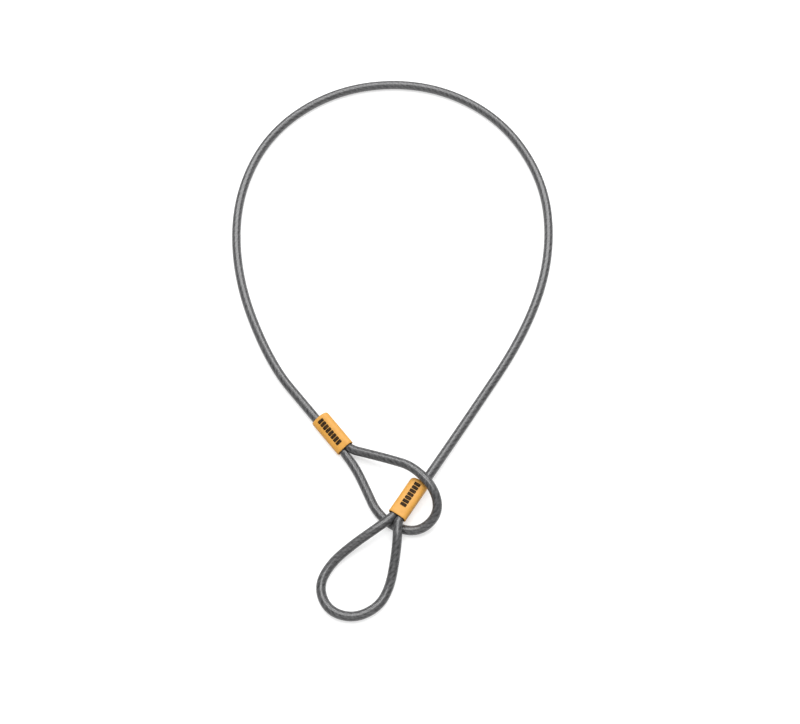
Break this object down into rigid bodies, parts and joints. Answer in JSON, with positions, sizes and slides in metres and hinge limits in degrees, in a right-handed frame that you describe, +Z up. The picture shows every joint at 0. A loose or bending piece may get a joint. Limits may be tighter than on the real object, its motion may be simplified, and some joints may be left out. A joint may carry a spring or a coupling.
{
  "type": "double-eye security cable",
  "caption": "Vinyl-jacketed wire rope security cable with a crimped eye and a slip-on sleeve at each end, laid with one end passed through the other's eye.",
  "frame": {"origin": "on the surface the cable lies on, below the centre of its overall box", "axes": "+X and +Y in the plane of the surface, +Y along the long side of the loop away from the two crimped ends, +Z up"},
  "size_m": [0.187, 0.3267, 0.0149],
  "materials": {
    "wire_rope": "galvanised steel wire, satin",
    "cable_jacket": "smoke-grey translucent vinyl, glossy",
    "ferrule": "pressed aluminium, dull",
    "sleeve": "soft orange vinyl, satin"
  },
  "bodies": {
    "cable": {"rope_core": "wire_rope", "run_jacket": "cable_jacket", "eye_a_jacket": "cable_jacket", "eye_b_jacket": "cable_jacket", "ferrule_a": "ferrule", "ferrule_b": "ferrule"},
    "sleeve_a": {"sleeve_a": "sleeve"},
    "sleeve_b": {"sleeve_b": "sleeve"}
  },
  "joints": [
    {"name": "sleeve_a_slide", "type": "slide", "parent": "cable", "child": "sleeve_a", "axis": [-0.6361, 0.7716, 0], "range_m": [0, 0.022]},
    {"name": "sleeve_b_slide", "type": "slide", "parent": "cable", "child": "sleeve_b", "axis": [0.5498, 0.8307, -0.0872], "range_m": [0, 0.022]}
  ]
}
